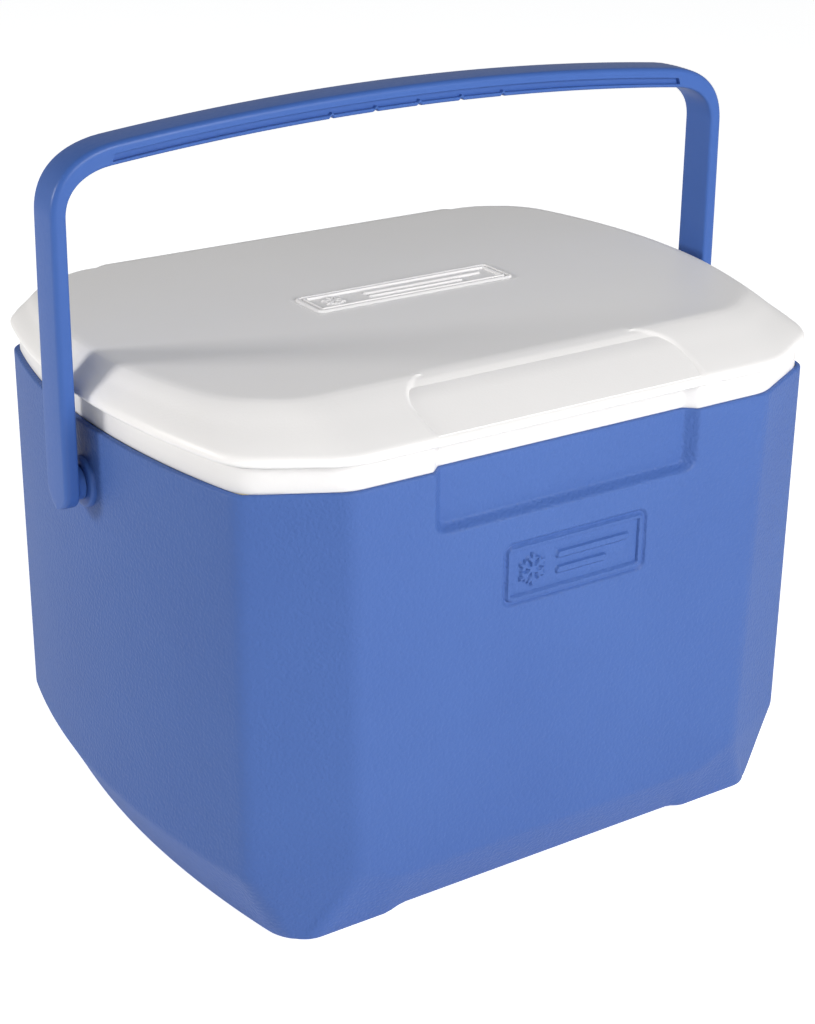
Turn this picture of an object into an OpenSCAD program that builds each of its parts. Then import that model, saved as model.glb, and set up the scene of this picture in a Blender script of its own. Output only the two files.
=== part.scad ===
// Hand-carried picnic cooler with a swing bail handle and a hinged lid.
// Millimetres. X is the length, -Y the front, Z up. Origin: centre of the base.

/* [Body] */
// Half depth of the shell at the top edge
body_half_y = 151; // [135:1:165]
// Height of the shell's top edge
shell_top = 248; // [220:1:270]
// Shell wall thickness
shell_wall = 3; // [2:0.5:4]
// Height of the feet under the base
foot_h = 3; // [2:0.5:6]
// Depth of the finger recess under the front of the lid
finger_depth = 5.5; // [4:0.5:8]

/* [Liner] */
// Liner wall thickness
liner_wall = 2.5; // [2:0.5:4]
// Height of the rim's top face
rim_top = 261.7; // [250:0.1:270]
// Height of the cavity floor
cavity_floor = 32; // [26:1:45]

/* [Lid] */
// Height of the lid's top face
lid_top = 283; // [276:1:290]
// How far the lid plug reaches into the cavity
plug_depth = 12; // [6:1:20]

/* [Handle] */
// Height of the handle pivot
pivot_z = 216; // [205:1:228]
// Width of the handle from front to back
handle_w = 24; // [18:1:30]
// Height of the bar's underside at mid length
bar_under = 386; // [380:1:400]
// Thickness of the bar at mid length
bar_t = 11.3; // [8:0.1:14]
// Radius of the handle pegs
peg_r = 7; // [5:0.5:8]

/* [Hinge] */
// Radius of the hinge pins
pin_r = 2.5; // [2:0.1:3]
// Distance of each lid knuckle from the middle
knuckle_x = 80; // [60:1:100]

/* [Hidden] */
eps = 0.25;
gap = 0.2;
blue = [0.32, 0.45, 0.73];
white = [0.94, 0.93, 0.91];
foam = [0.93, 0.89, 0.72];
hinge_y = 146.5;
hinge_z = 255;
knuckle_r = 4.5;
plate_z = 264.5;
bar_drop = 0.0003;
bore_r = peg_r + 0.06;
leg_in = 201.5;
leg_out = 209.6;
bushing_r = 13.5;
lid_low = 262;
band_top = 40;

// Eight-sided outline with long sides bowed outward. a and b are the ends of the
// straight front and side runs, ax and by their distances from the centre.
function bow(n, ax, b, s, d) = [for (i = [0 : n])
    let (t = -1 + 2 * i / n) [d * (ax + s * (1 - t * t)), d * b * t]];
function ring(a, by, ax, b, s) = concat([[-a, -by], [a, -by]], bow(12, ax, b, s, 1),
    [[a, by], [-a, by]], bow(12, ax, b, s, -1));

module slice(z, a, by, ax, b, s, t = eps) {
    translate([0, 0, z]) linear_extrude(height = t) polygon(ring(a, by, ax, b, s));
}

// The shell's outside, moved inward by m on every side. It tapers in below band_top.
module shell_form(m, z0, z1) {
    t = z0 / band_top;
    translate([0, 0, band_top]) linear_extrude(height = z1 - band_top)
        polygon(ring(126.5 - m * 0.5, body_half_y - m, 175.2 - m, 126.6 - m * 0.5, 17.5));
    hull() {
        slice(z0, 146 - 19.5 * t - m * 0.5, body_half_y - 12.8 + 12.8 * t - m,
            156.5 + 18.7 * t - m, 127 - 0.4 * t - m * 0.5, 10.5 + 7 * t);
        slice(band_top - eps, 126.5 - m * 0.5, body_half_y - m, 175.2 - m, 126.6 - m * 0.5, 17.5);
    }
}

// The rim's outside, moved inward by m.
module rim_form(m, z0, z1) {
    translate([0, 0, z0]) linear_extrude(height = z1 - z0)
        polygon(ring(127.5 - m * 0.5, body_half_y - 2 - m, 173.2 - m, 125 - m * 0.5, 17.6));
}

// The cavity, grown outward by m, from z0 to z1.
module cavity_form(m, z0, z1) {
    hull() {
        slice(z0, 112 + m * 0.5, 112 + m, 140 + m, 92 + m * 0.5, 12);
        slice(z1 - eps, 118 + m * 0.5, 122 + m, 147 + m, 100 + m * 0.5, 15.5);
    }
}

// The finger recess in the front, grown by m behind its face.
module finger_form(m) {
    hull() {
        translate([-82 - m, -body_half_y - 3 + m, 213 - m]) cube([164 + 2 * m, 1, 60]);
        translate([-76 - m, -body_half_y + finger_depth - 1 + m, 222 - m]) cube([152 + 2 * m, 1, 60]);
    }
}

// The lid's outside, moved inward by m. Its top sits to the rear, so the front slope is wide.
module lid_form(m, z0, z1) {
    hull() {
        slice(z0, 129 - m * 0.5, body_half_y + 1 - m, 174.5 - m, 126.5 - m * 0.5, 19);
        slice(268, 131 - m * 0.5, body_half_y + 3.5 - m, 177 - m, 128 - m * 0.5, 20);
        slice(272 - m * 0.8, 131 - m * 0.5, body_half_y - m, 175.5 - m, 126 - m * 0.5, 20);
        translate([0, 11, 0]) slice(z1 - eps, 135 - m * 0.5, 122.4 - m, 162 - m, 102 - m * 0.5, 20);
    }
}

module x_cyl(r, x0, x1, y, z) {
    translate([x0, y, z]) rotate([0, 90, 0]) cylinder(r = r, h = x1 - x0, $fn = 96);
}

module outer_shell() {
    color(blue) difference() {
        union() {
            shell_form(0, foot_h, shell_top);
            foot(1);
            foot(-1);
        }
        difference() {
            shell_form(shell_wall, foot_h + shell_wall, shell_top + 1);
            finger_form(shell_wall);
        }
        finger_form(0);
        // Shallow field for the emblem on the front.
        translate([-41, -body_half_y - 1, 167]) cube([92, 1.8, 34]);
        // One cut makes the round hole in both sides.
        x_cyl(bushing_r + 0.05, -200, 200, 0, pivot_z);
        translate([-60, 0, 0]) cylinder(r = 8.05, h = 12, $fn = 64);
        translate([60, 0, 0]) cylinder(r = 8.05, h = 12, $fn = 64);
    }
}

// One full-depth runner under the base.
module foot(side) {
    intersection() {
        linear_extrude(height = foot_h + 1) polygon(ring(146, body_half_y - 13, 156.4, 127, 10.4));
        translate([side > 0 ? 94 : -194, -200, 0]) cube([100, 400, 20]);
    }
}

module foam_core() {
    color(foam) difference() {
        union() {
            shell_form(shell_wall + gap, foot_h + shell_wall + gap, shell_top);
            rim_form(liner_wall + gap + 0.4, shell_top - 1, rim_top - liner_wall - gap);
        }
        cavity_form(liner_wall + gap, cavity_floor - liner_wall - gap, rim_top);
        finger_form(shell_wall + gap);
        x_cyl(bushing_r + gap, -200, -186.8, 0, pivot_z);
        x_cyl(bushing_r + gap, 186.8, 200, 0, pivot_z);
        x_cyl(10 + gap, -187, -171.8, 0, pivot_z);
        x_cyl(10 + gap, 171.8, 187, 0, pivot_z);
        hinge_block(-1, gap);
        hinge_block(1, gap);
    }
}

// Solid piece of the rim that holds one hinge pin.
module hinge_block(side, m) {
    translate([side * knuckle_x - 22 - m, 134 - m, shell_top - 3 - m])
        cube([44 + 2 * m, 30, rim_top - shell_top + 2 + 2 * m]);
}

module inner_liner() {
    color(white) difference() {
        union() {
            difference() {
                rim_form(0, shell_top + 0.05, rim_top);
                difference() {
                    rim_form(liner_wall, shell_top - 1, rim_top - liner_wall);
                    finger_form(liner_wall);
                }
            }
            cavity_form(liner_wall, cavity_floor - liner_wall, rim_top);
            intersection() {
                rim_form(0, shell_top + 0.05, rim_top);
                union() {
                    hinge_block(-1, 0);
                    hinge_block(1, 0);
                }
            }
        }
        cavity_form(0, cavity_floor, rim_top + 0.5);
        finger_form(0);
        hinge_pocket(-1);
        hinge_pocket(1);
    }
}

module hinge_pocket(side) {
    translate([side * knuckle_x - 10.3, 140.5, hinge_z - 5.4]) cube([20.6, 20, 20]);
    x_cyl(pin_r, side * knuckle_x - 18, side * knuckle_x + 18, hinge_y, hinge_z);
}

module fill_plug_left() {
    color(blue) translate([-60, 0, foot_h]) cylinder(r = 8, h = shell_wall, $fn = 64);
}

module fill_plug_right() {
    color(blue) translate([60, 0, foot_h]) cylinder(r = 8, h = shell_wall, $fn = 64);
}

// Flanged socket with a blind bore for one handle peg, drawn for the right side.
module bushing() {
    difference() {
        union() {
            x_cyl(bushing_r, 187, 196.4, 0, 0);
            x_cyl(10, 172, 187.5, 0, 0);
        }
        x_cyl(bore_r, 175, 197, 0, 0);
    }
}

module bushing_right() {
    color(blue) translate([0, 0, pivot_z]) bushing();
}

module bushing_left() {
    color(blue) translate([0, 0, pivot_z]) mirror([1, 0, 0]) bushing();
}

// Height of the bar's underside and top along its length.
function under(x) = bar_under - bar_drop * x * x;
function above(x) = bar_under + bar_t - bar_drop * 1.04 * x * x;

// Half outline of the bail, seen from the front: the right outer edge going up.
function outer_half() = concat(
    [[leg_out, pivot_z], [leg_out - 0.2, 304], [leg_out - 1.2, 354]],
    [for (i = [1 : 7]) let (q = i * 90 / 8)
        [leg_out - 1.4 - 34.5 * (1 - cos(q)), 355 + 32.9 * sin(q)]],
    [for (x = [170 : -17 : 0]) [x, above(x)]]);
function inner_half() = concat(
    [for (x = [0 : 17 : 170]) [x, under(x)]],
    [for (i = [7 : -1 : 0]) let (q = i * 90 / 8)
        [200.6 - 25 * (1 - cos(q)), 354.5 + 22 * sin(q)]],
    [[leg_in, 304], [leg_in, pivot_z]]);
function flip(p) = [for (i = [len(p) - 1 : -1 : 0]) [-p[i][0], p[i][1]]];

module bail_plate() {
    rotate([90, 0, 0]) linear_extrude(height = handle_w, center = true)
        polygon(concat(outer_half(), flip([for (q = outer_half()) if (q[0] > 0) q]),
            flip([for (q = inner_half()) if (q[0] > 0) q]), inner_half()));
}

// Long shallow groove in one face of the bar.
module bar_groove(side) {
    translate([0, side * handle_w / 2, 0]) rotate([90, 0, 0])
        linear_extrude(height = 5, center = true)
            polygon(concat([for (x = [-172 : 17.2 : 172.1]) [x, under(x) + 1.8]],
                [for (x = [172 : -17.2 : -172.1]) [x, under(x) + 5.9 - 0.00002 * x * x]]));
}

module handle() {
    color(blue) difference() {
        union() {
            bail_plate();
            leg_end(1);
            leg_end(-1);
        }
        bar_groove(1);
        bar_groove(-1);
        for (x = [-53 : 26.5 : 53])
            translate([x, 0, under(x) - 0.3]) rotate([0, 45, 0]) cube([2.2, handle_w + 2, 2.2], center = true);
    }
}

// Rounded lower end of a leg with its hub and peg.
module leg_end(side) {
    mirror([side > 0 ? 0 : 1, 0, 0]) {
        x_cyl(handle_w / 2, leg_in, leg_out, 0, pivot_z);
        x_cyl(9, 196.7, leg_in + 1, 0, pivot_z);
        x_cyl(peg_r, 177, leg_in + 1, 0, pivot_z);
    }
}

module lid_cover() {
    color(white) difference() {
        lid_form(0, lid_low, lid_top);
        difference() {
            lid_form(2.5, lid_low - 1, lid_top - 3);
            scoop(2.5);
        }
        // Rear corners set forward of the hinge zone.
        translate([118, body_half_y + 0.5, 254]) cube([60, 10, 40]);
        translate([-178, body_half_y + 0.5, 254]) cube([60, 10, 40]);
        scoop(0);
    }
}

// Shallow scoop down the lid's front slope, grown by m.
module scoop(m) {
    hull() {
        translate([-80 - m, -160, 268.6 - m * 1.1]) cube([160 + 2 * m, 1, 20]);
        translate([-78 - m, -150, 270.2 - m * 1.1]) cube([156 + 2 * m, 1, 20]);
        translate([-66 - m, -110, 281.8 - m * 1.1]) cube([132 + 2 * m, 1, 8]);
    }
}

module lid_foam() {
    color(foam) difference() {
        union() {
            intersection() {
                lid_form(6, lid_low - 1, lid_top - 4.5);
                translate([-200, -142, plate_z + 2.2]) cube([400, 286, 30]);
            }
            cavity_form_plug(4.3, rim_top - plug_depth + 2.8, plate_z + 3);
        }
        // Room behind the scoop's wall.
        scoop(5);
    }
}

// The lid plug, moved inward by m from the cavity wall.
module cavity_form_plug(m, z0, z1) {
    hull() {
        slice(z0, 115 - m * 0.5, 119 - m, 144 - m, 97 - m * 0.5, 15);
        slice(z1 - eps, 118 - m * 0.5, 122 - m, 147 - m, 100 - m * 0.5, 15.5);
    }
}

module lid_pan() {
    color(white) difference() {
        union() {
            // Plate over the whole underside.
            intersection() {
                rim_form(-0.3, plate_z, plate_z + 2);
                translate([-200, -148.4, 0]) cube([400, 297, 300]);
            }
            // Land that rests on the rim.
            linear_extrude_land();
            cavity_form_plug(1.5, rim_top - plug_depth, plate_z + 1);
            knuckle(-1);
            knuckle(1);
        }
        cavity_form_plug(4, rim_top - plug_depth + 2.5, plate_z + 3.1);
        x_cyl(pin_r + 0.06, -knuckle_x - 20, -knuckle_x + 20, hinge_y, hinge_z);
        x_cyl(pin_r + 0.06, knuckle_x - 20, knuckle_x + 20, hinge_y, hinge_z);
    }
}

module linear_extrude_land() {
    translate([0, 0, lid_low]) linear_extrude(height = plate_z - lid_low + 0.5)
        polygon(ring(124, 138, 160, 112, 16));
}

module knuckle(side) {
    x_cyl(knuckle_r, side * knuckle_x - 10, side * knuckle_x + 10, hinge_y, hinge_z);
    translate([side * knuckle_x - 10, 142, hinge_z]) cube([20, 6.4, plate_z - hinge_z + 0.5]);
}

module hinge_pin_left() {
    color(white) x_cyl(pin_r, -knuckle_x - 17.5, -knuckle_x + 17.5, hinge_y, hinge_z);
}

module hinge_pin_right() {
    color(white) x_cyl(pin_r, knuckle_x - 17.5, knuckle_x + 17.5, hinge_y, hinge_z);
}

outer_shell();
foam_core();
inner_liner();
fill_plug_left();
fill_plug_right();
bushing_left();
bushing_right();
handle();
lid_cover();
lid_foam();
lid_pan();
hinge_pin_left();
hinge_pin_right();
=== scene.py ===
"""Looks of the hard cooler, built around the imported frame.

Lengths are in millimetres and turn into metres when a mesh is made. The front faces -Y.
"""

import math

import bpy
import numpy as np
from mathutils import Matrix, Vector


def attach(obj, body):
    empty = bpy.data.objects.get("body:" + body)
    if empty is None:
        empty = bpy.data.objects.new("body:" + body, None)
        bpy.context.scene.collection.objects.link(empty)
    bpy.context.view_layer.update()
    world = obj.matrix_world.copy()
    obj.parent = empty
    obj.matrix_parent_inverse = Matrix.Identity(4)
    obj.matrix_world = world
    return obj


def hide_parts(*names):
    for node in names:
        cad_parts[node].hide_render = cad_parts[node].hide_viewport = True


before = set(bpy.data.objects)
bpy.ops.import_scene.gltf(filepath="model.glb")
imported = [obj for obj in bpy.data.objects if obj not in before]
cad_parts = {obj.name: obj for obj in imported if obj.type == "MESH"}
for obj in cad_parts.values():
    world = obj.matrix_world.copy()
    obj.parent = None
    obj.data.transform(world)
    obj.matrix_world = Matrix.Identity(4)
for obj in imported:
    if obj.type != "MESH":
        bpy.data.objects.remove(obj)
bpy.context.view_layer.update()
MM = 0.001
LIFT = 14.0  # heights are measured from this far above the ground


# ---------------------------------------------------------------- small maths
def smooth(t):
    t = min(max(t, 0.0), 1.0)
    return t * t * (3 - 2 * t)


def soft_ramp(t, r=0.18):
    """0 below 0 and 1 above 1, straight between, with rounded ends."""
    if t <= -r:
        return 0.0
    if t < r:
        return (t + r) ** 2 / (4 * r)
    if t < 1 - r:
        return t
    if t < 1 + r:
        return 1 - (1 + r - t) ** 2 / (4 * r)
    return 1.0


def steps(*spans):
    """Sorted values from (start, stop, step) spans, without repeats."""
    out = []
    for a, b, d in spans:
        n = max(1, int(round(abs(b - a) / d)))
        out += [a + (b - a) * i / n for i in range(n + 1)]
    out.sort()
    keep = [out[0]]
    for v in out[1:]:
        if v - keep[-1] > 1e-4:
            keep.append(v)
    return keep


def bezier(p0, p1, p2, p3, t):
    s = 1 - t
    return tuple(
        s ** 3 * a + 3 * s * s * t * b + 3 * s * t * t * c + t ** 3 * d
        for a, b, c, d in zip(p0, p1, p2, p3)
    )


def table_at(rows, v):
    """Smooth interpolation of a table of rows (key, values...) at v."""
    keys = [r[0] for r in rows]
    v = min(max(v, keys[0]), keys[-1])
    k = max(i for i in range(len(keys)) if keys[i] <= v)
    k = min(k, len(keys) - 2)
    t = (v - keys[k]) / (keys[k + 1] - keys[k])
    out = []
    for c in range(1, len(rows[0])):
        p = [r[c] for r in rows]
        h = keys[k + 1] - keys[k]

        def slope(i):
            if i == 0:
                return (p[1] - p[0]) / (keys[1] - keys[0])
            if i == len(p) - 1:
                return (p[-1] - p[-2]) / (keys[-1] - keys[-2])
            a = (p[i] - p[i - 1]) / (keys[i] - keys[i - 1])
            b = (p[i + 1] - p[i]) / (keys[i + 1] - keys[i])
            return 0.0 if a * b <= 0 else 2 * a * b / (a + b)

        m0, m1 = slope(k) * h, slope(k + 1) * h
        out.append(
            (2 * t ** 3 - 3 * t * t + 1) * p[k] + (t ** 3 - 2 * t * t + t) * m0
            + (3 * t * t - 2 * t ** 3) * p[k + 1] + (t ** 3 - t * t) * m1
        )
    return out


# ---------------------------------------------------------------- mesh making
def new_object(name, verts, faces, body, material, angle=40):
    """Mesh piece that rides on a body. Edges sharper than the angle in degrees stay sharp."""
    mesh = bpy.data.meshes.new(name)
    mesh.from_pydata([(x * MM, y * MM, (z + LIFT) * MM) for x, y, z in verts], [], faces)
    mesh.validate()
    mesh.shade_smooth()
    mesh.set_sharp_from_angle(angle=math.radians(angle))
    obj = bpy.data.objects.new(name, mesh)
    bpy.context.scene.collection.objects.link(obj)
    obj.data.materials.append(material)
    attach(obj, body)
    return obj


class Outline:
    """Outline with straight front and rear, chamfered corners and bowed sides.

    Every ring has the same number of points, so rings at all heights join up.
    """

    CORNER, CHAMFER = 7, 8  # spans of a rounded corner and of a chamfer

    def __init__(self, front_x, side, inner=112.0):
        self.front_x = front_x
        self.inner = inner  # points beyond this x spread to the end of the straight run
        self.side = side
        self.n = len(front_x)
        self.half = 2 * (2 * self.CORNER + self.CHAMFER + side) - 1  # points between front and rear

    def quarter(self, a, by, ax, b, s, r1, r2):
        """Right front quarter after the straight run: round, chamfer, round, then the side up to y = 0."""
        d = np.array([ax - a, by - b], float)
        run = np.linalg.norm(d)
        d = d / run
        r1 = min(r1, run * 0.45)
        r2 = min(r2, run * 0.45)
        p = np.array([a, -by])
        q = np.array([ax, -b])
        pts = []
        for i in range(self.CORNER + 1):
            t = i / self.CORNER
            p0, p2 = p + np.array([-r1, 0]), p + d * r1
            pts.append((1 - t) ** 2 * p0 + 2 * t * (1 - t) * p + t * t * p2)
        for i in range(1, self.CHAMFER):
            pts.append(p + d * (r1 + (run - r1 - r2) * i / self.CHAMFER))
        t2 = r2 / b
        end = np.array([ax + s * (1 - (1 - t2) ** 2), -b * (1 - t2)])
        for i in range(self.CORNER + 1):
            t = i / self.CORNER
            pts.append((1 - t) ** 2 * (q - d * r2) + 2 * t * (1 - t) * q + t * t * end)
        for i in range(1, self.side + 1):
            t = -(1 - t2) * (1 - i / self.side)
            pts.append(np.array([ax + s * (1 - t * t), b * t]))
        return pts

    def ring(self, a, by, ax, b, s, r1, r2):
        """Counter-clockwise from the front's left end. Returns x, y pairs."""
        q = self.quarter(a, by, ax, b, s, r1, r2)
        edge = q[0][0]
        inner = self.inner
        front = []
        for x in self.front_x:
            if abs(x) > inner:
                k = (abs(x) - inner) / (max(self.front_x) - inner)
                x = math.copysign(inner + (edge - inner) * k, x)
            front.append((x, -by))
        right = [tuple(p) for p in q[1:]]
        right = right + [(x, -y) for x, y in reversed(right[:-1])]
        rear = [(x, -y) for x, y in reversed(front)]
        left = [(-x, -y) for x, y in right]
        return front + right + rear + left

    def bridge(self, start, flip=False):
        """Faces that close one ring straight across from front to rear."""
        n, half = self.n, self.half
        m = 2 * (n + half)
        rear0 = n + half
        front = list(range(n))
        rear = [rear0 + n - 1 - i for i in range(n)]
        faces = [(front[i + 1], front[i], rear[i], rear[i + 1]) for i in range(n - 1)]
        for a0, side in ((n - 1, 1), (0, -1)):
            lo = [a0] + [(n + i) if side > 0 else (m - 1 - i) for i in range(half // 2)]
            hi = [rear[a0]] + [
                (rear0 - 1 - i) if side > 0 else (rear0 + n + i) for i in range(half // 2)
            ]
            mid = (n + half // 2) if side > 0 else (m - 1 - half // 2)
            for i in range(len(lo) - 1):
                f = (lo[i + 1], lo[i], hi[i], hi[i + 1])
                faces.append(f if side > 0 else f[::-1])
            f = (mid, lo[-1], hi[-1])
            faces.append(f if side > 0 else f[::-1])
        if flip:
            faces = [f[::-1] for f in faces]
        return [tuple(start + i for i in f) for f in faces]


def loft(rings, outline):
    """Closed mesh through rings of (x, y, z), from the lowest outside to the last inside."""
    m = len(rings[0])
    verts = [p for ring in rings for p in ring]
    faces = []
    for k in range(len(rings) - 1):
        for i in range(m):
            j = (i + 1) % m
            faces.append((k * m + i, k * m + j, (k + 1) * m + j, (k + 1) * m + i))
    faces += outline.bridge(0)
    faces += outline.bridge((len(rings) - 1) * m, flip=True)
    return verts, faces


def lathe(profile, side, z, count=72):
    """Turned piece about the X axis at height z. profile is (x, radius) pairs; side is 1 or -1."""
    verts, faces = [], []
    for x, r in profile:
        for i in range(count):
            t = 2 * math.pi * i / count
            verts.append((side * x, r * math.cos(t), z + r * math.sin(t)))
    for k in range(len(profile) - 1):
        for i in range(count):
            j = (i + 1) % count
            f = (k * count + i, k * count + j, (k + 1) * count + j, (k + 1) * count + i)
            faces.append(f if side > 0 else f[::-1])
    first = tuple(range(count))
    last = tuple((len(profile) - 1) * count + i for i in range(count))
    faces.append(first[::-1] if side > 0 else first)
    faces.append(last if side > 0 else last[::-1])
    return verts, faces


# ---------------------------------------------------------------- materials
DRIFT_SCALE, DRIFT_SPAN = 9, (0.3, 0.7)
GLOSS_SPREAD = 0.07
GRAIN_DEPTH = 0.0006
WAVE_SCALE, WAVE_DEPTH = 16, 0.004


def noise(nt, coords, scale, detail, roughness=0.5):
    """Noise laid out in the object's own coordinates."""
    node = nt.nodes.new("ShaderNodeTexNoise")
    node.inputs["Scale"].default_value = scale
    node.inputs["Detail"].default_value = detail
    node.inputs["Roughness"].default_value = roughness
    nt.links.new(coords.outputs["Object"], node.inputs["Vector"])
    return node.outputs["Fac"]


def map_range(nt, value, start=(0.0, 1.0), end=(0.0, 1.0)):
    """The value carried from the start range to the end range."""
    node = nt.nodes.new("ShaderNodeMapRange")
    node.inputs["From Min"].default_value, node.inputs["From Max"].default_value = start
    node.inputs["To Min"].default_value, node.inputs["To Max"].default_value = end
    nt.links.new(value, node.inputs["Value"])
    return node.outputs["Result"]


def bump(nt, height, strength, depth):
    node = nt.nodes.new("ShaderNodeBump")
    node.inputs["Strength"].default_value = strength
    node.inputs["Distance"].default_value = depth
    nt.links.new(height, node.inputs["Height"])
    return node


def plastic(name, color, dark, rough, grain_scale, grain, wave=0.0, spec=0.5):
    """Moulded plastic: slow colour drift, fine grain in bump, slight change of gloss."""
    mat = bpy.data.materials.new(name)
    mat.use_nodes = True
    nt = mat.node_tree
    shader = nt.nodes["Principled BSDF"]
    shader.inputs["Specular IOR Level"].default_value = spec
    coords = nt.nodes.new("ShaderNodeTexCoord")
    mix = nt.nodes.new("ShaderNodeMix")
    mix.data_type = "RGBA"
    mix.inputs["A"].default_value = (*dark, 1)
    mix.inputs["B"].default_value = (*color, 1)
    drift = map_range(nt, noise(nt, coords, DRIFT_SCALE, 3), DRIFT_SPAN)
    nt.links.new(drift, mix.inputs["Factor"])
    nt.links.new(mix.outputs["Result"], shader.inputs["Base Color"])
    fine = noise(nt, coords, grain_scale, 2, 0.45)
    gloss = map_range(nt, fine, end=(rough - GLOSS_SPREAD, rough + GLOSS_SPREAD))
    nt.links.new(gloss, shader.inputs["Roughness"])
    relief = bump(nt, fine, grain, GRAIN_DEPTH)
    if wave:
        waves = bump(nt, noise(nt, coords, WAVE_SCALE, 1), wave, WAVE_DEPTH)
        nt.links.new(relief.outputs["Normal"], waves.inputs["Normal"])
        relief = waves
    nt.links.new(relief.outputs["Normal"], shader.inputs["Normal"])
    return mat


BLUE = plastic(
    "Blue_Grained_Plastic", (0.060, 0.128, 0.372), (0.055, 0.118, 0.352),
    rough=0.48, grain_scale=560, grain=0.9, wave=0.10, spec=0.26,
)
SATIN = plastic(
    "Blue_Satin_Plastic", (0.053, 0.128, 0.402), (0.048, 0.119, 0.384),
    rough=0.36, grain_scale=420, grain=0.06, wave=0.05, spec=0.24,
)
WHITE = plastic(
    "White_Satin_Plastic", (0.92, 0.90, 0.885), (0.90, 0.88, 0.865),
    rough=0.42, grain_scale=700, grain=0.10, wave=0.05,
)
INNER = plastic(
    "White_Liner_Plastic", (0.80, 0.785, 0.775), (0.78, 0.765, 0.755),
    rough=0.40, grain_scale=600, grain=0.08, wave=0.06,
)
FOAM = plastic(
    "Foam_Fill", (0.80, 0.72, 0.46), (0.76, 0.67, 0.42),
    rough=0.85, grain_scale=260, grain=0.5,
)


def cad_material(node_name):
    """Material of a CAD node, for the nodes that stay in the picture as they are."""
    if "foam" in node_name:
        return FOAM
    if node_name in ("lid_pan", "hinge_pin_left", "hinge_pin_right"):
        return INNER
    return BLUE


for node_name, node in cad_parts.items():
    node.data.materials.clear()
    node.data.materials.append(cad_material(node_name))


# ---------------------------------------------------------------- emblems
FORK_PLACE, TWIG_LENGTH, TWIG_ANGLE = 0.55, 0.36, 0.9  # shares of the flake's radius, and radians


def rounded_box(u, v, w, h, r):
    """Signed distance to a rounded rectangle: negative inside."""
    dx, dy = abs(u) - (w - r), abs(v) - (h - r)
    return math.hypot(max(dx, 0), max(dy, 0)) + min(max(dx, dy), 0) - r


def segment(u, v, x0, y0, x1, y1):
    """Distance to a straight line from x0, y0 to x1, y1."""
    dx, dy = x1 - x0, y1 - y0
    t = min(max(((u - x0) * dx + (v - y0) * dy) / (dx * dx + dy * dy), 0), 1)
    return math.hypot(u - x0 - t * dx, v - y0 - t * dy)


def snowflake(u, v, r):
    """Distance to a six-armed flake of radius r, with a pair of twigs on each arm."""
    fork, twig = FORK_PLACE * r, TWIG_LENGTH * r
    best = math.inf
    for k in range(6):
        arm = k * math.pi / 3 + math.pi / 6
        c, s = math.cos(arm), math.sin(arm)
        best = min(best, segment(u, v, 0, 0, r * c, r * s))
        for a in (arm + TWIG_ANGLE, arm - TWIG_ANGLE):
            end = (fork * c + twig * math.cos(a), fork * s + twig * math.sin(a))
            best = min(best, segment(u, v, fork * c, fork * s, *end))
    return best


def ridge(d, half, soft=0.45):
    """1 within half of a line at distance d, falling to 0 over soft."""
    return 1 - smooth((d - half) / soft)


def bars(u, v, left, rows, half, edge, soft):
    """Height of round-ended bars that start at left, as 0 to 1.

    rows are (place up, half length), half is half a bar's width, and the flank falls over soft,
    starting edge inside the outline.
    """
    return max(
        1 - smooth((rounded_box(u - left - w, v - up, w, half, half) + edge) / soft)
        for up, w in rows
    )


# ---------------------------------------------------------------- outer shell
# An outline is the half length of the front's straight run, the half depth, then x and y
# where the chamfer meets the side, and how far the side bows out. Tables start with a height.
SHELL = [
    (-14.0, 123.0, 151.0, 175.2, 127.8, 16.4),
    (26.0, 124.0, 151.0, 175.5, 127.3, 17.0),
    (234.0, 128.0, 151.0, 175.9, 126.0, 18.0),
]
BASE = (146.0, 138.3, 157.5, 126.5, 13.5)
BASE_Z = -LIFT
SHELL_TOP, TOP_ROUND = 234.0, 1.3
SKIN = 3.0
BASE_EDGE = ((0.0, 2.6), (0.25, 1.3), (0.9, 0.45), (2.0, 0.05))  # height and inset of the round edge
WALL_LEVELS = steps(
    (-10, 36, 2.2), (36, 148, 8), (148, 192, 0.7), (192, 197, 1.5), (197, 214, 0.8), (214, 232.4, 3)
)
INSIDE_LEVELS = (226, 208, 202, 197, 150, 60, 30, 15, 0)
TAPER_FRONT, TAPER_SIDE = 18.5, 28.5  # below these heights the wall draws in to the base
TAPER_BLEND, TAPER_BLEND_RUN = 98.0, 27.0  # x where the front's height goes over into the side's
TAPER_SOFT = 0.1
FRONT_Y = 149.9  # points beyond this are on the front or the rear
RUNNER_X, RUNNER_EDGE = 88.0, 13.0
RUNNER_RISE, RUNNER_FADE = 3.0, 20.0  # lift of the base between the runners, gone this far up

RECESS_DEPTH, RECESS_HALF, RECESS_Z = 5.5, 81.8, 201.0
RECESS_END, RECESS_LEDGE = 6.0, 3.8
RECESS_CORNER = 1.6
BADGE_X, BADGE_Z, BADGE_W, BADGE_H = 5.0, 169.5, 45.5, 17.5
BADGE_FIELD, BADGE_FRAME, BADGE_MARKS = 1.5, 1.6, 1.4  # depth, then heights above the field
BADGE_BARS = ((4.2, 23.0), (-4.2, 16.0))


def inset(outline, m):
    """An outline drawn in by m all round."""
    a, by, ax, b, s = outline
    return a - 0.45 * m, by - m, ax - m, b - 0.5 * m, s


def outline_at(rows, z, m=0.0):
    """The outline that a table gives at height z, drawn in by m."""
    return inset(table_at(rows, z), m)


def at_height(ring, z):
    return [[x, y, z] for x, y, _ in ring]


def recess_depth(x, z):
    """Inward step of the recess under the front of the lid."""
    tx = (RECESS_HALF - abs(x)) / RECESS_END
    tz = (z - RECESS_Z) / RECESS_LEDGE
    r = RECESS_CORNER
    t = r - math.hypot(r - tx, r - tz) if tx < r and tz < r else min(tx, tz, r)
    return RECESS_DEPTH * soft_ramp(t, 0.16)


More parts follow.
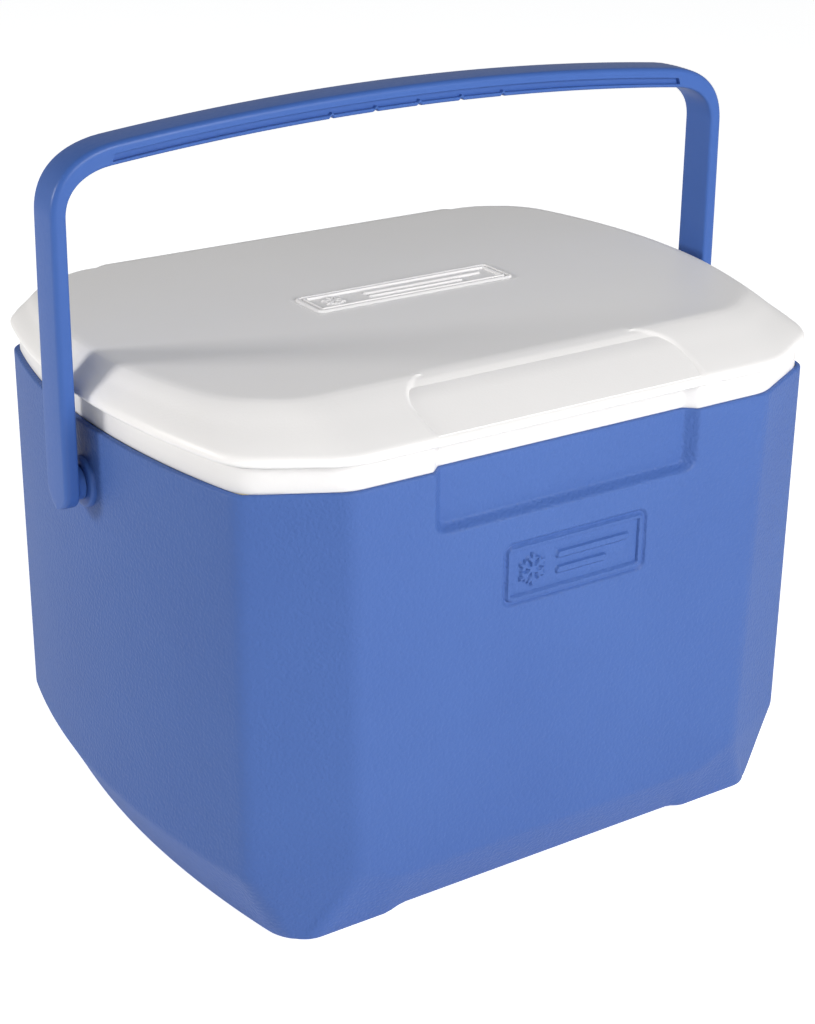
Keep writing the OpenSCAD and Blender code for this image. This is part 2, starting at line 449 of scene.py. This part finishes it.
def badge_height(u, v):
    """Relief of the front emblem: a sunk field with a raised frame, a flake and two bars."""
    d = rounded_box(u, v, BADGE_W, BADGE_H, 6.0)
    h = BADGE_FRAME * ridge(abs(d + 3.9), 0.8, 0.8) - BADGE_FIELD * smooth(-d / 1.4 + 0.2)
    if d < -6:
        flake = ridge(snowflake(u + 27, v, 8.0), 0.8)
        h += BADGE_MARKS * max(flake, bars(u, v, -12.0, BADGE_BARS, 1.9, 0.3, 0.7))
    return h


def taper(x, y, z, m):
    """How far a wall point is drawn in to the base: 0 above the taper, 1 on the ground."""
    start = TAPER_SIDE
    if abs(y) > FRONT_Y - m:
        blend = smooth((abs(x) - TAPER_BLEND) / TAPER_BLEND_RUN)
        start = TAPER_FRONT + (TAPER_SIDE - TAPER_FRONT) * blend
    t = (start - z) / (start - BASE_Z)
    if t <= 0:
        return 0.0
    f = t * t / (2 * TAPER_SOFT) if t < TAPER_SOFT else t - TAPER_SOFT / 2
    return f / (1 - TAPER_SOFT / 2)


# Points along the front lie close together at the recess's ends and on the emblem.
half_front = [x for x in steps((-44, 54, 0.7), (54, 70, 2.5), (70, 88, 0.75), (88, 130, 4)) if x > 0]
shell_line = Outline([-x for x in reversed(half_front)] + [0.0] + half_front, side=26)


def shell_ring(z, m=0.0, emblem=True):
    """One level of the casing, drawn in by m, with its taper, recess and emblem."""
    ring = shell_line.ring(*outline_at(SHELL, z, m), r1=5.0, r2=5.5)
    foot = shell_line.ring(*inset(BASE, m), r1=7.0, r2=8.0)
    out = []
    for i, (x, y) in enumerate(ring):
        f = taper(x, y, z, m)
        x, y = x + (foot[i][0] - x) * f, y + (foot[i][1] - y) * f
        if i < shell_line.n:
            y += recess_depth(x, z)
            u, v = x - BADGE_X, z - BADGE_Z
            if emblem and abs(u) < BADGE_W + 2 and abs(v) < BADGE_H + 2:
                y -= badge_height(u, v)
        out.append([x, y, z])
    return out


def on_runners(ring):
    """The ring with its middle lifted off the ground, so that the base stands on two runners."""
    out = []
    for x, y, z in ring:
        rise = RUNNER_RISE * (1 - smooth((abs(x) - RUNNER_X) / RUNNER_EDGE))
        out.append([x, y, z + rise * max(0, 1 - (z - BASE_Z) / RUNNER_FADE)])
    return out


def shell_rings():
    """From the ground up the outside, over the top edge and down the inside."""
    rings = []
    for z, m in BASE_EDGE:
        rings.append(on_runners(shell_ring(BASE_Z + z, m)))
    for z in WALL_LEVELS:
        rings.append(on_runners(shell_ring(z)))
    for t in (15, 40, 65, 90):
        q = math.radians(t)
        ring = shell_ring(SHELL_TOP, TOP_ROUND * (1 - math.cos(q)))
        rings.append(at_height(ring, SHELL_TOP - TOP_ROUND * (1 - math.sin(q))))
    rings.append(shell_ring(SHELL_TOP, SKIN))
    for z in INSIDE_LEVELS:
        rings.append(shell_ring(z, SKIN, emblem=False))
    rings.append(at_height(shell_ring(-6, 2 * SKIN, emblem=False), -7.5))
    return rings


verts, faces = loft(shell_rings(), shell_line)
shell = new_object("Body_Casing", verts, faces, "body", BLUE)
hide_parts("outer_shell")

# ---------------------------------------------------------------- rim and liner
RIM = (127.5, 149.0, 173.2, 125.0, 17.6)
RIM_BASE, RIM_TOP = 234.05, 247.7
RIM_ROUND, MOUTH_ROUND = 1.2, 2.0
CAVITY_FLOOR, CAVITY_ROUND = 18.0, 12.0
CAVITY = [
    (CAVITY_FLOOR, 112.0, 112.0, 140.0, 92.0, 12.0),
    (RIM_TOP, 118.0, 122.0, 147.0, 100.0, 15.5),
]
LINER_WALL = 2.5
POCKET_X, POCKET_HALF, POCKET_Y = 80.0, 10.3, 140.5  # hinge pockets in the rear of the rim

rim_x = steps((-130, -88, 6), (-88, -70, 0.75), (-70, 70, 5), (70, 88, 0.75), (88, 130, 6))
for edge in (POCKET_X - POCKET_HALF, POCKET_X + POCKET_HALF):
    rim_x += [edge - 0.06, edge + 0.06, -edge - 0.06, -edge + 0.06]
rim_line = Outline(sorted(set(rim_x)), side=28, inner=91.0)


def rim_ring(z, m=0.0, pockets=True):
    """The rim follows the recess at the front and is cut for the hinge at the rear."""
    out = []
    for i, (x, y) in enumerate(rim_line.ring(*inset(RIM, m), r1=7, r2=9)):
        if i < rim_line.n:
            y += recess_depth(x, z)
        if pockets and y > 130 and abs(abs(x) - POCKET_X) < POCKET_HALF:
            y = min(y, POCKET_Y)
        out.append([x, y, z])
    return out


def cavity_ring(z, m=0.0, height=None):
    """The cavity's outline at z, larger by m, and laid at another height if one is given."""
    a, by, ax, b, s = table_at(CAVITY, z)
    ring = rim_line.ring(a + 0.5 * m, by + m, ax + m, b + 0.5 * m, s, r1=16, r2=16)
    return [[x, y, z if height is None else height] for x, y in ring]


def liner_rings():
    """From under the floor up the hidden side, round the rim and down into the cavity."""
    wall = LINER_WALL
    rings = [cavity_ring(CAVITY_FLOOR, wall, CAVITY_FLOOR - wall)]
    rings += [cavity_ring(226, wall), cavity_ring(236, wall, RIM_BASE)]
    for z, m in ((RIM_BASE, 0.3), (234.4, 0.0), (235.55, 0.0)):
        rings.append(rim_ring(z, m, pockets=False))
    for z in (235.6, 240, 244, 246.4):
        rings.append(rim_ring(z))
    for t in (25, 50, 75, 90):
        q = math.radians(t)
        rings.append(rim_ring(RIM_TOP - RIM_ROUND * (1 - math.sin(q)), RIM_ROUND * (1 - math.cos(q))))
    for t in (0, 30, 60, 90):
        q = math.radians(t)
        drop = MOUTH_ROUND * (1 - math.cos(q))
        rings.append(cavity_ring(RIM_TOP, MOUTH_ROUND * (1 - math.sin(q)), RIM_TOP - drop))
    for z in reversed(steps((45, 235, 19))):
        rings.append(cavity_ring(z))
    for t in (0, 20, 40, 60, 80, 90):
        q = math.radians(t)
        z = CAVITY_FLOOR + CAVITY_ROUND * (1 - math.sin(q))
        rings.append(cavity_ring(z, -CAVITY_ROUND * (1 - math.cos(q))))
    return rings


verts, faces = loft(liner_rings(), rim_line)
liner = new_object("Rim_And_Liner", verts, faces, "body", INNER)
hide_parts("inner_liner")

# ---------------------------------------------------------------- lid cover
LID_BASE, LID_TOP = 248.0, 269.0
LID = [
    (LID_BASE, 129.3, 152.6, 175.0, 126.8, 19.4),
    (249.0, 130.4, 153.9, 176.4, 127.6, 19.8),
    (250.6, 131.0, 154.5, 177.0, 128.0, 20.0),
    (252.6, 131.1, 153.8, 176.5, 127.4, 20.0),
    (254.6, 131.4, 150.8, 175.4, 125.4, 20.0),
    (261.0, 133.0, 139.2, 170.4, 115.8, 20.1),
    (268.2, 134.8, 125.3, 164.4, 104.4, 20.2),
    (LID_TOP, 135.0, 122.4, 162.0, 102.0, 20.0),
]
LIP_Z = 254.0  # the slope to the top starts here
LID_BACK = 11.0
LID_CORNERS = {"r1": 11, "r2": 13}
LID_INSIDE = ((265.5, 2.8), (262.0, 2.6), (253.0, 2.3), (250.6, 2.2), (248.25, 2.2), (LID_BASE, 1.6))
LID_LEVELS = steps((248.8, 254, 0.65), (254, 258, 0.4), (258, 268.0, 0.5), (268.0, LID_TOP, 0.2))
CORNER_X, CORNER_Y, CORNER_STEP = 115.0, 118.0, 3.0  # the rear corners are drawn in a little
SCOOP_HALF, SCOOP_FLARE, SCOOP_DEPTH = 64.0, 18.0, 2.2

lid_x = steps((-130, -86, 4), (-86, -58, 0.7), (-58, 58, 4), (58, 86, 0.7), (86, 130, 2))
lid_line = Outline(lid_x, side=36, inner=87.0)


def lid_shift(z):
    """The lid's top sits to the rear, so the front slope is wide and the rear one steep."""
    return LID_BACK * min(max((z - LIP_Z) / (LID_TOP - LIP_Z), 0.0), 1.0)


def scoop_at(z):
    """Half width of the front scoop, its depth and the parts of it that go inward and down."""
    t = (LID_TOP - z) / (LID_TOP - LIP_Z)
    half = SCOOP_HALF + SCOOP_FLARE * math.sqrt(1 - (1 - min(t / 0.55, 1.0)) ** 2)
    tilt = math.radians(74 - 59 * smooth((t - 0.68) / 0.32))
    if t < 1:
        return half, SCOOP_DEPTH * (smooth(t / 0.3) * 0.7 + 0.3), math.cos(tilt), math.sin(tilt)
    down = math.sin(tilt) * smooth((z - 249.5) / 4.5)
    return half, SCOOP_DEPTH * smooth((z - LID_BASE) / 6.0), math.cos(tilt), down


def lid_ring(z, m=0.0, scoop=True):
    """One level of the lid, drawn in by m, with the scoop in its front edge."""
    ring = lid_line.ring(*outline_at(LID, z, m), **LID_CORNERS)
    half, deep, inward, down = scoop_at(z)
    out = []
    for i, (x, y) in enumerate(ring):
        y += lid_shift(z)
        h = z
        if i < lid_line.n and scoop:
            k = deep * soft_ramp((half - abs(x)) / 3.2 + 0.5, 0.35)
            y += k * inward
            h -= k * down
        if y > CORNER_Y:
            y -= CORNER_STEP * smooth((abs(x) - CORNER_X) / 5.0) * min(1.0, (y - CORNER_Y) / 14)
        out.append([x, y, h])
    return out


def lid_rings():
    """From the hidden top of the inside down to the lip, then up the outside and onto the top."""
    rings = [at_height(lid_ring(265.9, 8, scoop=False), 266.0)]
    for z, m in LID_INSIDE:
        rings.append(lid_ring(z, m, scoop=False))
    rings += [lid_ring(LID_BASE, 0.5), lid_ring(248.3, 0.08)]
    for z in LID_LEVELS:
        rings.append(lid_ring(z))
    for m in (3.0, 6.0, 10.0):
        ring = lid_line.ring(*outline_at(LID, LID_TOP, m), **LID_CORNERS)
        rings.append([[x, y + LID_BACK, LID_TOP] for x, y in ring])
    return rings


verts, faces = loft(lid_rings(), lid_line)
lid = new_object("Lid_Cover", verts, faces, "lid", WHITE, angle=30)
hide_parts("lid_cover")

# ---------------------------------------------------------------- lid emblem
EMBLEM_X, EMBLEM_Y = 5.0, 8.0
EMBLEM_W, EMBLEM_H = 65.0, 16.0
EMBLEM_NX, EMBLEM_NY = 301, 81
EMBLEM_BARS = ((2.9, 38.0), (-2.9, 30.0))
EMBLEM_RISE = 1.2


def lid_badge(u, v):
    """Raised double frame with a flake and bars, like the one on the front."""
    d = rounded_box(u, v, 63.0, 14.0, 4.0)
    h = EMBLEM_RISE * max(ridge(abs(d + 1.2), 0.7, 0.6), ridge(abs(d + 4.6), 0.6, 0.6))
    if d < -6.2:
        flake = ridge(snowflake(u + 46, v, 5.8), 0.55)
        h = max(h, 1.1 * max(flake, bars(u, v, -25.0, EMBLEM_BARS, 1.3, 0.2, 0.6)))
    return h


def emblem_mesh():
    """A thin slab with the relief on top, set into the top of the lid."""
    nx, ny = EMBLEM_NX, EMBLEM_NY
    verts, faces = [], []
    for j in range(ny):
        v = EMBLEM_H * (2 * j / (ny - 1) - 1)
        for i in range(nx):
            u = EMBLEM_W * (2 * i / (nx - 1) - 1)
            verts.append((EMBLEM_X + u, EMBLEM_Y + v, LID_TOP + 0.03 + lid_badge(u, v)))
    for j in range(ny - 1):
        for i in range(nx - 1):
            faces.append((j * nx + i, j * nx + i + 1, (j + 1) * nx + i + 1, (j + 1) * nx + i))
    edge = list(range(nx)) + [j * nx + nx - 1 for j in range(1, ny)]
    edge += [(ny - 1) * nx + i for i in range(nx - 2, -1, -1)]
    edge += [j * nx for j in range(ny - 2, 0, -1)]
    base, count = len(verts), len(edge)
    verts += [(verts[i][0], verts[i][1], LID_TOP - 0.5) for i in edge]
    for i in range(count):
        j = (i + 1) % count
        faces.append((edge[j], edge[i], base + i, base + j))
    faces.append(tuple(base + i for i in reversed(range(count))))
    return verts, faces


verts, faces = emblem_mesh()
new_object("Lid_Emblem", verts, faces, "lid", WHITE, angle=60)

# ---------------------------------------------------------------- bail handle
PIVOT_Z = 202.0
LEG_IN, LEG_OUT = 201.5, 209.6
LEG_HALF, BAR_HALF = 12.0, 11.4
LEG_TOP = 341.0
LEG_LEAN_IN, LEG_LEAN_OUT = 0.9, 1.2  # the legs lean inward by this much up to LEG_TOP
BEND_IN, BEND_OUT = 178.0, 174.0  # x where the bends run into the bar
GRIP_END = 172.05
GROOVE, NOTCH = 2.4, 1.5
NOTCHES = (-53, -26.5, 0, 26.5, 53)
BAR_UNDER, BAR_ABOVE = 373.0, 384.3  # heights at the middle of the bar
ARCH_UNDER, ARCH_ABOVE = 0.0003, 0.000312  # fall of each face, times the distance squared
BAR_PLACES = steps((0, 3.5, 0.7), (0, 20, 4), (20, 60, 0.7), (60, 171.8, 4), (171.8, 172.2, 0.4))


def under(x):
    """Height of the bar's underside, a little lower towards the ends."""
    return BAR_UNDER - ARCH_UNDER * x * x


def above(x):
    """Height of the bar's upper side."""
    return BAR_ABOVE - ARCH_ABOVE * x * x


def handle_leg():
    """Stations from the round lower end up the leg and through the bend."""
    out = []
    for q in (88, 80, 70, 60, 50, 40, 30, 20, 10):
        q = math.radians(q)
        z = PIVOT_Z - LEG_HALF * math.sin(q)
        out.append((LEG_IN, z, LEG_OUT, z, LEG_HALF * math.cos(q), None))
    for i in range(19):
        t = i / 18
        z = PIVOT_Z + (LEG_TOP - PIVOT_Z) * t
        half = LEG_HALF + (BAR_HALF - LEG_HALF) * t
        out.append((LEG_IN - LEG_LEAN_IN * t * t, z, LEG_OUT - LEG_LEAN_OUT * t * t, z, half, None))
    in_x, out_x = LEG_IN - LEG_LEAN_IN, LEG_OUT - LEG_LEAN_OUT
    for i in range(1, 22):
        t = i / 22
        inner = bezier((in_x, LEG_TOP), (200.3, 354), (191, 361.0), (BEND_IN, under(BEND_IN)), t)
        outer = bezier((out_x, LEG_TOP), (208.1, 361), (195, 371.6), (BEND_OUT, above(BEND_OUT)), t)
        out.append((*inner, *outer, BAR_HALF, None))
    return out


def handle_stations():
    """(inner x, inner z, outer x, outer z, half width, place along the bar or None), left to right."""
    right = handle_leg()
    for x in reversed(BAR_PLACES):
        inner_x = x + (BEND_IN - BEND_OUT) * (x / BEND_OUT) ** (2 if x > 100 else 3)
        right.append((inner_x, under(inner_x), x, above(x), BAR_HALF, x))
    left = [(-ix, iz, -ox, oz, w, x) for ix, iz, ox, oz, w, x in right]
    return left + right[-2::-1]


def notch(x):
    """Depth of the small vee cuts across the underside of the bar."""
    return max(0.0, max(NOTCH - abs(x - c) * 1.05 for c in NOTCHES))


def section(thick, half, groove, cut):
    """Closed loop of (distance from the inner face, y) for one station."""
    ri, ro = min(1.6, half * 0.5), min(3.0, half * 0.55, thick * 0.42)
    lo, hi = max(1.9, cut + ri + 0.05), min(6.2, thick - ro - 0.4)
    side = [(cut, y * (half - ri)) for y in (0.0, 0.35, 0.7)]
    for i in range(5):
        q = math.pi / 2 * i / 4
        side.append((cut + ri - ri * math.cos(q), half - ri + ri * math.sin(q)))
    lip = half - 0.25 * bool(groove)
    side += [(lo, half), (lo + 0.25, lip), (lo + 0.3, half - groove)]
    side.append(((lo + hi) / 2, half - groove))
    side += [(hi - 0.3, half - groove), (hi - 0.25, lip), (hi, half)]
    for i in range(7):
        q = math.pi / 2 * i / 6
        side.append((thick - ro + ro * math.sin(q), half - ro + ro * math.cos(q)))
    for y in (0.7, 0.35, 0.0):
        side.append((thick + 0.25 * (1 - y * y), y * (half - ro)))
    return side + [(d, -y) for d, y in side[-2:0:-1]]


def handle_mesh():
    """The whole bail as one closed tube through its stations."""
    verts, faces = [], []
    stations = handle_stations()
    for ix, iz, ox, oz, half, place in stations:
        thick = math.hypot(ox - ix, oz - iz)
        groove, cut = 0.0, 0.0
        if place is not None:
            groove, cut = GROOVE * (place <= GRIP_END), notch(ox)
        for d, y in section(thick, half, groove, cut):
            verts.append((ix + (ox - ix) * d / thick, y, iz + (oz - iz) * d / thick))
    count = len(verts) // len(stations)
    for k in range(len(stations) - 1):
        for i in range(count):
            j = (i + 1) % count
            faces.append((k * count + i, k * count + j, (k + 1) * count + j, (k + 1) * count + i))
    faces.append(tuple(reversed(range(count))))
    faces.append(tuple(len(verts) - count + i for i in range(count)))
    return verts, faces


verts, faces = handle_mesh()
handle = new_object("Bail_Handle", verts, faces, "handle", SATIN, angle=38)
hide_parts("handle")

# ---------------------------------------------------------------- pegs and sockets
# Turned profiles of (x, radius). The peg's hub runs from its inner end outward. The socket's
# runs outward over its outside and the flange, then back down its bore.
HUB = [
    (177.0, 6.0), (178.0, 7.0), (196.4, 7.0), (196.7, 7.05), (196.7, 8.7),
    (197.0, 9.0), (200.0, 9.0), (200.9, 9.3), (201.5, 10.0), (203.0, 10.0),
]
BUSHING = [
    (172.0, 0.4), (172.0, 10.0), (187.0, 10.0), (187.0, 13.5), (194.8, 13.5), (195.6, 13.3),
    (196.2, 12.6), (196.4, 11.6), (196.4, 7.5), (195.8, 7.06), (175.0, 7.06), (175.0, 0.4),
]

for side, word in ((1, "Right"), (-1, "Left")):
    verts, faces = lathe(HUB, side, PIVOT_Z)
    new_object("Handle_Hub_" + word, verts, faces, "handle", SATIN)
    verts, faces = lathe(BUSHING, side, PIVOT_Z)
    bushing = new_object("Pivot_Bushing_" + word, verts, faces, "body", SATIN)
    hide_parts("bushing_" + word.lower())


# ---------------------------------------------------------------- floor
FLOOR_REACH = 9.0  # metres


def stage_material(name, color, seen, cast):
    """Pale sweep that looks brighter to the camera (seen) than the light it gives off (cast)."""
    mat = bpy.data.materials.new(name)
    mat.use_nodes = True
    nt = mat.node_tree
    shader = nt.nodes["Principled BSDF"]
    shader.inputs["Base Color"].default_value = (*color, 1)
    shader.inputs["Roughness"].default_value = 0.9
    shader.inputs["Emission Color"].default_value = (*color, 1)
    path = nt.nodes.new("ShaderNodeLightPath")
    glow = map_range(nt, path.outputs["Is Camera Ray"], end=(cast, seen))
    nt.links.new(glow, shader.inputs["Emission Strength"])
    return mat


corners = [(x * FLOOR_REACH, y * FLOOR_REACH, 0) for x, y in ((-1, -1), (1, -1), (1, 1), (-1, 1))]
mesh = bpy.data.meshes.new("Floor")
mesh.from_pydata(corners, [], [(0, 1, 2, 3)])
floor = bpy.data.objects.new("Floor", mesh)
bpy.context.scene.collection.objects.link(floor)
floor.data.materials.append(stage_material("Floor_Pale", (0.9, 0.9, 0.9), seen=0.85, cast=0.3))


# ---------------------------------------------------------------- lights
def area_light(name, place, target, size, watts, color=(1, 1, 1)):
    """Square light at place, turned to the target. Metres and watts."""
    light = bpy.data.lights.new(name, "AREA")
    light.energy = watts
    light.color = color
    light.size = size
    obj = bpy.data.objects.new(name, light)
    obj.location = place
    obj.rotation_euler = (Vector(target) - Vector(place)).to_track_quat("-Z", "Y").to_euler()
    bpy.context.scene.collection.objects.link(obj)


def studio_world():
    """Cool surround that is brighter low down than overhead."""
    world = bpy.data.worlds.new("Studio")
    bpy.context.scene.world = world
    world.use_nodes = True
    nt = world.node_tree
    background = nt.nodes["Background"]
    background.inputs["Color"].default_value = (0.96, 0.98, 1.0, 1)
    coords = nt.nodes.new("ShaderNodeTexCoord")
    axes = nt.nodes.new("ShaderNodeSeparateXYZ")
    nt.links.new(coords.outputs["Generated"], axes.inputs["Vector"])
    glow = map_range(nt, axes.outputs["Z"], (0.3, 0.85), (0.42, 0.08))
    nt.links.new(glow, background.inputs["Strength"])


area_light("Left_Rear", (-1.8, 0.75, 0.85), (0, 0, 0.2), 0.45, 19, (1.0, 0.985, 0.96))
area_light("Front_Near", (0.2, -1.35, 0.86), (0, 0, 0.22), 0.8, 19.5)
studio_world()
bpy.context.scene.view_settings.view_transform = "Standard"

# ---------------------------------------------------------------- camera
YAW, PITCH, ROLL = 0.587, 0.4085, 0.012  # radians
CAMERA_PLACE = (-0.594, -0.897, 0.606 + LIFT * MM)

camera = bpy.data.cameras.new("Camera")
camera.lens = 72.9
camera.sensor_width = 36
camera.clip_start = 0.02
forward = Vector((math.sin(YAW) * math.cos(PITCH), math.cos(YAW) * math.cos(PITCH), -math.sin(PITCH)))
level = Vector((math.cos(YAW), -math.sin(YAW), 0))
upright = level.cross(forward)
right = level * math.cos(ROLL) + upright * math.sin(ROLL)
up = upright * math.cos(ROLL) - level * math.sin(ROLL)
cam = bpy.data.objects.new("Camera", camera)
bpy.context.scene.collection.objects.link(cam)
turn = Matrix((right, up, -forward)).transposed().to_4x4()
cam.matrix_world = Matrix.Translation(CAMERA_PLACE) @ turn
bpy.context.scene.camera = cam

bpy.context.view_layer.update()
